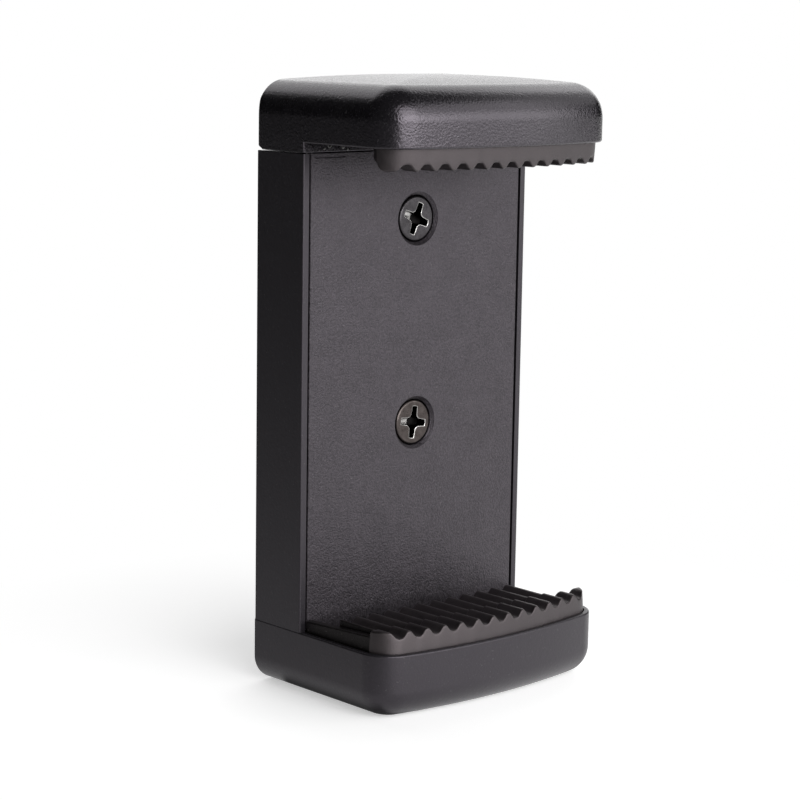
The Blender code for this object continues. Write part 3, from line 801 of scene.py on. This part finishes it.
# Ribbed pads, one moulding used twice: the upper one is the lower one turned over
pad = {
    "margin": 0.9,
    "foot": 0.24,
    "pitch": 2.53,
    "ribDepth": 0.8,
    "valleyPower": 2.4,
    "crestPower": 1.7,
    "crest": 2.6,
    "base": -0.3,
    "baseEdge": 0.15,
    "root": -1.4,
    "wallRow": 1.4,
    "back": 9.05,
    "lipDepth": 4.3,
    "lipEdge": 0.26,
    "lipBackEdge": 0.16,
    "freeBackEdge": 0.9,
    "rearStart": 14.0,
    "rearDrop": 0.2,
    "rearSide": 12.1,
    "rearEdge": 0.22,
    "wallWidth": 1.2,
    "wallRise": 1.3,
    "wallSlope": 0.05,
    "inset": 0.02,
    "overlap": 0.1,
    "endGap": 0.003,
    "endEase": 0.4,
    "freeFade": 0.3,
    "columnsPerRib": 24,
    "shadeAndDustFrom": 16.45,
    "frontSearch": (19.5, 26.0),
}
lowerPad = {"rim": body["lowerRim"], "seat": 5.5, "way": 1.0}
upperPad = {"rim": body["upperRim"], "seat": 69.5, "way": -1.0}


# Height of the ribs at x, 0 in a valley and 1 on a crest, the last crest on each side left flat
def ribShare(x):
    place = abs(x) / pad["pitch"]
    rise = 2 * abs(place - round(place))
    if place > 6.5:
        rise = 1.0 - 0.1 * (place - 6.5)
    valley, crest = rise ** pad["valleyPower"], (1.0 - rise) ** pad["crestPower"]
    return valley / (valley + crest)


# How far a point of the plan lies inside the outline that is set in by margin
def edgeDistance(plan, margin, x, distance):
    cornerX, cornerD, lean = cornerPlace(plan)
    bow = body["jawDepth"] - body["bowRadius"]
    side = abs(x)
    if math.atan2(side, distance - bow) <= lean:
        return body["bowRadius"] - margin - math.hypot(side, distance - bow)
    if distance < cornerD:
        return body["halfWidth"] - margin - side
    return plan["corner"] - margin - math.hypot(side - cornerX, distance - cornerD)


# Forward distance of that outline at x, found by halving
def frontLimit(plan, margin, x):
    low, high = pad["frontSearch"]
    for _ in range(32):
        middle = (low + high) / 2
        if edgeDistance(plan, margin, x, middle) > 0.0:
            low = middle
        else:
            high = middle
    return low


# Places from left to right about step apart, drawn together within ease of the open ends
def columns(left, right, step, easeLeft, easeRight):
    inner = (right - easeRight) - (left + easeLeft)
    count = max(2, round(inner / step))
    turns = [math.pi / 2 * i / 6 for i in range(6)]
    places = [left + easeLeft * (1 - math.cos(a)) for a in turns]
    places += [left + easeLeft + inner * i / count for i in range(count + 1)]
    places += [right - easeRight * (1 - math.cos(a)) for a in reversed(turns)]
    return places


# A grid extruded to a closed block; topLine and bottomLine give the points of each column of x
def heightBlock(places, topLine, bottomLine, mapping):
    tops, bottoms = [topLine(x) for x in places], [bottomLine(x) for x in places]
    across, along = len(tops) - 1, len(tops[0]) - 1
    bm = bmesh.new()
    bmesh.ops.create_grid(bm, x_segments=across, y_segments=along, size=0.5)
    pulled = set(bmesh.ops.extrude_face_region(bm, geom=bm.faces[:])["geom"])
    for vert in bm.verts:
        i, j = round((vert.co.x + 0.5) * across), round((vert.co.y + 0.5) * along)
        vert.co = mapping(*(bottoms if vert in pulled else tops)[i][j])
    return bm


# Height lost at a distance inside a rounded edge
def rounded(distance, radius):
    inside = min(max(distance, 0.0), radius)
    return radius - math.sqrt(radius ** 2 - (radius - inside) ** 2)


def makePad(name, sizes, plan):
    way, rim = sizes["way"], sizes["rim"]
    depth, crest, root, margin = pad["ribDepth"], pad["crest"], pad["root"], pad["margin"] + pad["inset"]
    lipBack = body["jawDepth"] - pad["margin"] - pad["lipDepth"]

    def mapping(x, distance, height):
        return (way * x, forward(distance), rim + way * height)

    cornerX, cornerD, _ = cornerPlace(plan)
    radius = plan["corner"] - margin
    limit = math.sqrt(radius ** 2 - (lipBack - cornerD) ** 2) + cornerX - pad["endGap"]

    def lipBackEdge(x):
        free = min(max((x - pad["rearSide"]) / pad["freeFade"], 0.0), 1.0)
        return pad["lipBackEdge"] + free * (pad["freeBackEdge"] - pad["lipBackEdge"])

    # The front wall leans out towards its foot, whatever height its top has
    def outward(height):
        return pad["foot"] * (crest - height) / (crest - root)

    def lipRows(x):
        far = frontLimit(plan, margin - outward(crest - depth * (1.0 - ribShare(x))), x)
        room = far - lipBack
        behind = min(lipBackEdge(x), room * 0.3)
        ahead = min(pad["lipEdge"], room * 0.4)
        turns = [math.pi / 2 * i / 5 for i in range(6)]
        row = [lipBack + behind * (1 - math.cos(a)) for a in turns]
        row += [lipBack + behind + (room - behind - ahead) * share for share in (0.25, 0.5, 0.75)]
        return row + [far - ahead + ahead * math.sin(a) for a in turns]

    def lipTop(x):
        line, rows = [], lipRows(x)
        top = crest - depth * (1.0 - ribShare(x))
        for d in rows:
            inside = min(edgeDistance(plan, margin - outward(top), x, d), rows[-1] - d)
            line.append((x, d, top - rounded(inside, pad["lipEdge"]) - rounded(d - lipBack, lipBackEdge(x))))
        line.append((x, frontLimit(plan, margin - outward(pad["wallRow"]), x), pad["wallRow"]))
        return line

    def lipBottom(x):
        wide = x * (limit + pad["foot"]) / limit
        line = [(wide, d, root) for d in lipRows(x)]
        return line + [(wide, max(frontLimit(plan, margin - pad["foot"], wide), line[-1][1]), root)]

    step, ease = pad["pitch"] / pad["columnsPerRib"], pad["endEase"]
    lip = heightBlock(columns(-limit, limit, step, ease, ease), lipTop, lipBottom, mapping)

    outside, right = pad["margin"] + pad["inset"] - body["halfWidth"], pad["rearSide"]
    wallEnd = outside + pad["wallWidth"]
    overlap, start, edge = pad["overlap"], pad["rearStart"], pad["rearEdge"]
    left = wallEnd - overlap

    def rearRows():
        row = [start + edge * (1 - math.cos(math.pi / 2 * i / 4)) for i in range(5)]
        room = lipBack + overlap - start - edge
        return row + [start + edge + room * share for share in (0.25, 0.5, 0.75, 1.0)]

    def rearTop(x):
        drop = pad["rearDrop"] + depth * (1.0 - ribShare(x))
        ends = rounded(min(x - left, right - x), edge)
        return [(x, d, crest - drop - max(ends, rounded(d - start, edge))) for d in rearRows()]

    def rearBottom(x):
        return [(x, d, root) for d in rearRows()]

    rear = heightBlock(columns(left, right, step, edge, edge), rearTop, rearBottom, mapping)

    near, far = pad["back"] + pad["inset"], lipBack + overlap

    def wallRows():
        return [near + (far - near) * i / 16 for i in range(17)]

    def wallTop(x):
        ends = rounded(min(x - outside, wallEnd - x), edge)
        return [(x, d, pad["wallRise"] + pad["wallSlope"] * (d - near) - ends) for d in wallRows()]

    def wallBottom(x):
        return [(x, d, root) for d in wallRows()]

    wall = heightBlock(columns(outside, wallEnd, 0.2, edge, edge), wallTop, wallBottom, mapping)

    baseEdge = pad["baseEdge"]
    levels = [(0.0, (sizes["seat"] - rim) * way), (0.0, pad["base"] - baseEdge)]
    levels += [(inset, pad["base"] - baseEdge + rise) for inset, rise in quarter(baseEdge, 3)[1:]]
    rings = []
    for inset, height in levels:
        outline = trayOutline(plan, margin + inset, pad["back"] + pad["inset"] + inset)
        rings.append([(x, y, rim + way * height) for x, y in outline])
    return joinedPiece(name, [lip, rear, wall, ringsMesh(rings)])


# Painted shade on the low side wall behind the lip: a darker, less shiny rubber there, with pale dust specks
def paintShadeAndDust(piece, way):
    piece.data.materials.append(shadeAndDustRubber)
    behind = forward(body["jawDepth"] - pad["margin"] - pad["lipDepth"]) - 0.05
    for polygon in piece.data.polygons:
        centre = polygon.center / millimetre
        if way * centre.x < -pad["shadeAndDustFrom"] and centre.y > behind:
            polygon.material_index = 1


for name, sizes, plan, owner in (("lower", lowerPad, lowerPlan, "base"),
                                 ("upper", upperPad, upperPlan, "jaw")):
    piece = makePad(f"{name}PadRibs", sizes, plan)
    dress(piece, padRubber, owner, f"{name}_pad")
    paintShadeAndDust(piece, sizes["way"])
print("stage: pads made")

# Carried-over pieces keep their solids and get finished materials
carried = {
    "slider": sliderPlastic,
    "jaw_screw_left": lowerSteel,
    "jaw_screw_right": lowerSteel,
    "guide_rod_left": steel,
    "guide_rod_right": steel,
    "spring_left": steel,
    "spring_right": steel,
    "tripod_insert": brass,
}
for node, material in carried.items():
    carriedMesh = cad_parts[node].data
    if carriedMesh.materials:
        for index in range(len(carriedMesh.materials)):
            carriedMesh.materials[index] = material
    else:
        carriedMesh.materials.append(material)
print("stage: carried pieces dressed")

# Camera, worked out from the photograph's straight edges
view = {
    "yaw": -42.048,
    "pitch": 9.53,
    "roll": 0.907,
    "focalPixels": 2342.614,
    "distance": 288.981,
    "target": (-3.723, 2.948, 35.384),
    "frameWidth": 800.0,
    "sensor": 36.0,
}


def makeCamera():
    yaw, pitch, roll = (math.radians(view[key]) for key in ("yaw", "pitch", "roll"))
    back = Vector((math.sin(yaw) * math.cos(pitch), -math.cos(yaw) * math.cos(pitch), math.sin(pitch)))
    right = Vector((math.cos(yaw), math.sin(yaw), 0.0))
    up = back.cross(right)
    rightTurned = right * math.cos(roll) + up * math.sin(roll)
    upTurned = up * math.cos(roll) - right * math.sin(roll)
    place = (Vector(view["target"]) + back * view["distance"]) * millimetre
    data = bpy.data.cameras.new("photoCamera")
    data.sensor_width = view["sensor"]
    data.lens = view["focalPixels"] * view["sensor"] / view["frameWidth"]
    data.clip_start = 0.01
    data.clip_end = 20.0
    camera = bpy.data.objects.new("photoCamera", data)
    columnsOf = Matrix((rightTurned, upTurned, back)).transposed()
    camera.matrix_world = Matrix.Translation(place) @ columnsOf.to_4x4()
    bpy.context.scene.collection.objects.link(camera)
    bpy.context.scene.camera = camera


makeCamera()

# Studio: a pale floor that goes over into a white surround, soft boxes placed by azimuth from the
# front and by elevation, and a dark dome behind them that only reflections see
studio = {
    "floorHalf": 2.0,
    "floorDrop": 0.00005,
    "floorTone": 0.8,
    "floorGlow": 0.45,
    "fadeStart": 0.03,
    "fadeEnd": 0.075,
    "fill": 0.02,
    "lampDistance": 0.9,
    "lampAim": 0.04,
    "domeDistance": 1.3,
    # painted shadow that reflections see under the object: half size and fade in X, the same in Y, the least
    # level
    "shade": (17.3, 2.5, 9.2, 0.8, 0.15),
    # painted light and shade that reflections see on the floor: the direction it changes along, its bright,
    # dim and far levels, and their ranges
    "dimSide": (-0.82, 0.57),
    "dimLevels": (1.3, 0.6, 0.3),
    "sideRange": (-0.01, 0.03),
    "farRange": (0.04, 0.22),
    "lamps": {
        # azimuth from and to, elevation from and to, radiance
        "lowMiddle": (-34, 20, 0, 22, 7.0),
        "highMiddle": (-34, 12, 22, 46, 4.2),
        "lowRight": (20, 60, 0, 22, 3.2),
        "highRight": (20, 60, 22, 45, 1.5),
        "highSide": (60, 110, 22, 50, 0.7),
        "rearSide": (110, 145, 0, 22, 1.6),
        "rear": (145, 180, 0, 22, 1.6),
        "highRear": (110, 180, 22, 62, 1.3),
    },
}


def onSphere(azimuth, elevation, distance):
    a, e = math.radians(azimuth), math.radians(elevation)
    return Vector((math.sin(a) * math.cos(e), -math.cos(a) * math.cos(e), math.sin(e))) * distance


def addLamp(name, azimuthLow, azimuthHigh, elevationLow, elevationHigh, radiance):
    distance = studio["lampDistance"]
    width, height = (2 * distance * math.tan(math.radians(high - low) / 2)
                     for low, high in ((azimuthLow, azimuthHigh), (elevationLow, elevationHigh)))
    data = bpy.data.lights.new(name, "AREA")
    data.shape = "RECTANGLE"
    data.size, data.size_y = width, height
    data.energy = radiance * math.pi * width * height
    lamp = bpy.data.objects.new(name, data)
    offset = onSphere((azimuthLow + azimuthHigh) / 2, (elevationLow + elevationHigh) / 2, distance)
    lamp.location = offset + Vector((0.0, 0.0, studio["lampAim"]))
    lamp.rotation_euler = offset.to_track_quat("Z", "Y").to_euler()
    lamp.visible_camera = False
    bpy.context.scene.collection.objects.link(lamp)


def emission(tree, strength):
    glow = tree.nodes.new("ShaderNodeEmission")
    glow.inputs["Color"].default_value = (1.0, 1.0, 1.0, 1.0)
    glow.inputs["Strength"].default_value = strength
    return glow.outputs[0]


def mixShader(tree, factor, first, second):
    mix = tree.nodes.new("ShaderNodeMixShader")
    link(tree, factor, mix.inputs[0])
    link(tree, first, mix.inputs[1])
    link(tree, second, mix.inputs[2])
    return mix.outputs[0]


# What reflections see of the floor is painted: brighter than white to one side as painted light, dimmer to
# the other as painted shade, and dark where the object stands over it as a painted shadow
def floorShade(tree, coordinate):
    halfX, reachX, halfY, reachY, least = studio["shade"]
    bright, dim, farShare = studio["dimLevels"]
    split = tree.nodes.new("ShaderNodeSeparateXYZ")
    link(tree, coordinate.outputs["Object"], split.inputs[0])
    beyond = []
    for output, half, reach in (("X", halfX, reachX), ("Y", halfY, reachY)):
        size = tree.nodes.new("ShaderNodeMath")
        size.operation = "ABSOLUTE"
        link(tree, split.outputs[output], size.inputs[0])
        low, high = half * millimetre, (half + reach) * millimetre
        beyond.append(rangeNode(tree, size.outputs[0], low, high, least, 1.0))
    near = mathNode(tree, "MAXIMUM", *beyond)
    dot = tree.nodes.new("ShaderNodeVectorMath")
    dot.operation = "DOT_PRODUCT"
    dot.inputs[1].default_value = (*studio["dimSide"], 0.0)
    link(tree, coordinate.outputs["Object"], dot.inputs[0])
    side = rangeNode(tree, dot.outputs["Value"], *studio["sideRange"], bright, dim)
    outer = rangeNode(tree, dot.outputs["Value"], *studio["farRange"], 1.0, farShare)
    return mathNode(tree, "MULTIPLY", near, mathNode(tree, "MULTIPLY", side, outer))


# Floor: diffuse with some glow near the object and pure white further out; reflections see its painted
# shadow, shade and light instead
def makeFloor():
    bm = bmesh.new()
    bmesh.ops.create_grid(bm, x_segments=1, y_segments=1, size=studio["floorHalf"])
    mesh = bpy.data.meshes.new("studioFloor")
    bm.to_mesh(mesh)
    bm.free()
    floor = bpy.data.objects.new("studioFloor", mesh)
    floor.location = (0.0, 0.0, -studio["floorDrop"])
    bpy.context.scene.collection.objects.link(floor)
    material, tree, shader, coordinate = nodeMaterial("studioFloorPaper")
    tone = studio["floorTone"]
    shader.inputs["Base Color"].default_value = (tone, tone, tone, 1.0)
    shader.inputs["Roughness"].default_value = 1.0
    shader.inputs["Specular IOR Level"].default_value = 0.0
    add = tree.nodes.new("ShaderNodeAddShader")
    link(tree, shader.outputs[0], add.inputs[0])
    link(tree, emission(tree, studio["floorGlow"]), add.inputs[1])
    length = tree.nodes.new("ShaderNodeVectorMath")
    length.operation = "LENGTH"
    link(tree, coordinate.outputs["Object"], length.inputs[0])
    fade = rangeNode(tree, length.outputs["Value"], studio["fadeStart"], studio["fadeEnd"], 0.0, 1.0)
    white = emission(tree, 1.0)
    seen = mixShader(tree, fade, add.outputs[0], white)
    path = tree.nodes.new("ShaderNodeLightPath")
    mirrored = mathNode(tree, "MAXIMUM", path.outputs["Is Glossy Ray"], path.outputs["Is Transmission Ray"])
    reflected = tree.nodes.new("ShaderNodeEmission")
    link(tree, floorShade(tree, coordinate), reflected.inputs["Strength"])
    other = mixShader(tree, mirrored, shader.outputs[0], reflected.outputs[0])
    final = mixShader(tree, path.outputs["Is Camera Ray"], other, seen)
    link(tree, final, tree.nodes["Material Output"].inputs["Surface"])
    mesh.materials.append(material)


def makeWorld():
    world = bpy.data.worlds.new("studioWorld")
    world.use_nodes = True
    tree = world.node_tree
    fill = tree.nodes["Background"]
    fill.inputs["Color"].default_value = (1.0, 1.0, 1.0, 1.0)
    fill.inputs["Strength"].default_value = studio["fill"]
    path = tree.nodes.new("ShaderNodeLightPath")
    mirrored = mathNode(tree, "MAXIMUM", path.outputs["Is Glossy Ray"], path.outputs["Is Transmission Ray"])
    white = tree.nodes.new("ShaderNodeBackground")
    white.inputs["Color"].default_value = (1.0, 1.0, 1.0, 1.0)
    white.inputs["Strength"].default_value = 1.0
    showsWhite = mathNode(tree, "MAXIMUM", path.outputs["Is Camera Ray"], mirrored)
    final = mixShader(tree, showsWhite, fill.outputs[0], white.outputs[0])
    link(tree, final, tree.nodes["World Output"].inputs["Surface"])
    bpy.context.scene.world = world


# Half a black sphere that only reflections see
def makeDome():
    bm = bmesh.new()
    bmesh.ops.create_uvsphere(bm, u_segments=48, v_segments=32, radius=studio["domeDistance"])
    geometry = bm.verts[:] + bm.edges[:] + bm.faces[:]
    bmesh.ops.bisect_plane(bm, geom=geometry, dist=1e-5, plane_co=(0.0, 0.0, 0.0), plane_no=(0.0, 0.0, 1.0),
                           clear_inner=True)
    mesh = bpy.data.meshes.new("darkDome")
    bm.to_mesh(mesh)
    bm.free()
    dome = bpy.data.objects.new("darkDome", mesh)
    bpy.context.scene.collection.objects.link(dome)
    material, tree, shader, _ = nodeMaterial("darkDomeCloth")
    shader.inputs["Base Color"].default_value = (0.0, 0.0, 0.0, 1.0)
    shader.inputs["Roughness"].default_value = 1.0
    shader.inputs["Specular IOR Level"].default_value = 0.0
    mesh.materials.append(material)
    dome.visible_camera = False
    dome.visible_diffuse = False
    dome.visible_shadow = False
    dome.visible_transmission = False


for name, values in studio["lamps"].items():
    addLamp(name, *values)
makeDome()
makeFloor()
makeWorld()
bpy.context.scene.view_settings.view_transform = "Standard"
print("stage: camera and studio made")
